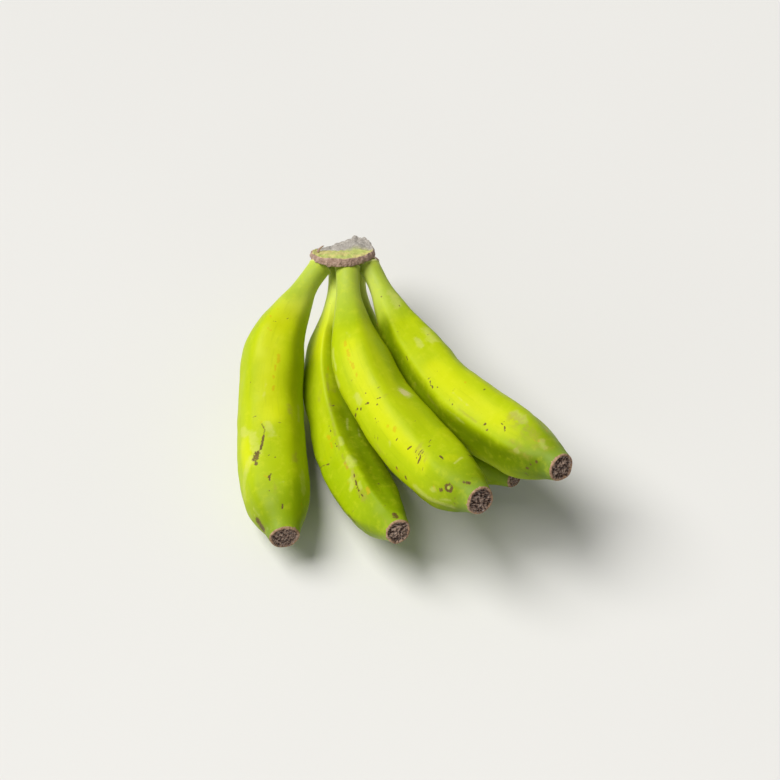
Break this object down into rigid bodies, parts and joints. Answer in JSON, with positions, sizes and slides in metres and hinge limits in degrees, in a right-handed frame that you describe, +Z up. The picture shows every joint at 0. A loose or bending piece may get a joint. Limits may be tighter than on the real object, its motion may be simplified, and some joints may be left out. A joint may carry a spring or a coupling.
{
  "type": "hand of green bananas",
  "caption": "Hand of green bananas on one corky crown: curved ridged fingers with slim stems and blunt blossom scars, lying on their bellies.",
  "frame": {"origin": "on the floor, under the middle of the box that the lying hand fills", "axes": "+Z up; +Y from the tips in front towards the crown at the back; +X to the right, where the outermost finger points"},
  "size_m": [0.172, 0.1882, 0.0827],
  "materials": {
    "banana_peel": "satin waxy green peel, yellower where it catches the light, with small brown rub marks",
    "crown_cork": "matt brown corky band with a dried grey and green cut face"
  },
  "bodies": {
    "root": {"crown": "crown_cork", "left_finger": "banana_peel", "rear_left_finger": "banana_peel", "middle_finger": "banana_peel", "right_finger": "banana_peel", "rear_right_finger": "banana_peel"}
  },
  "joints": []
}
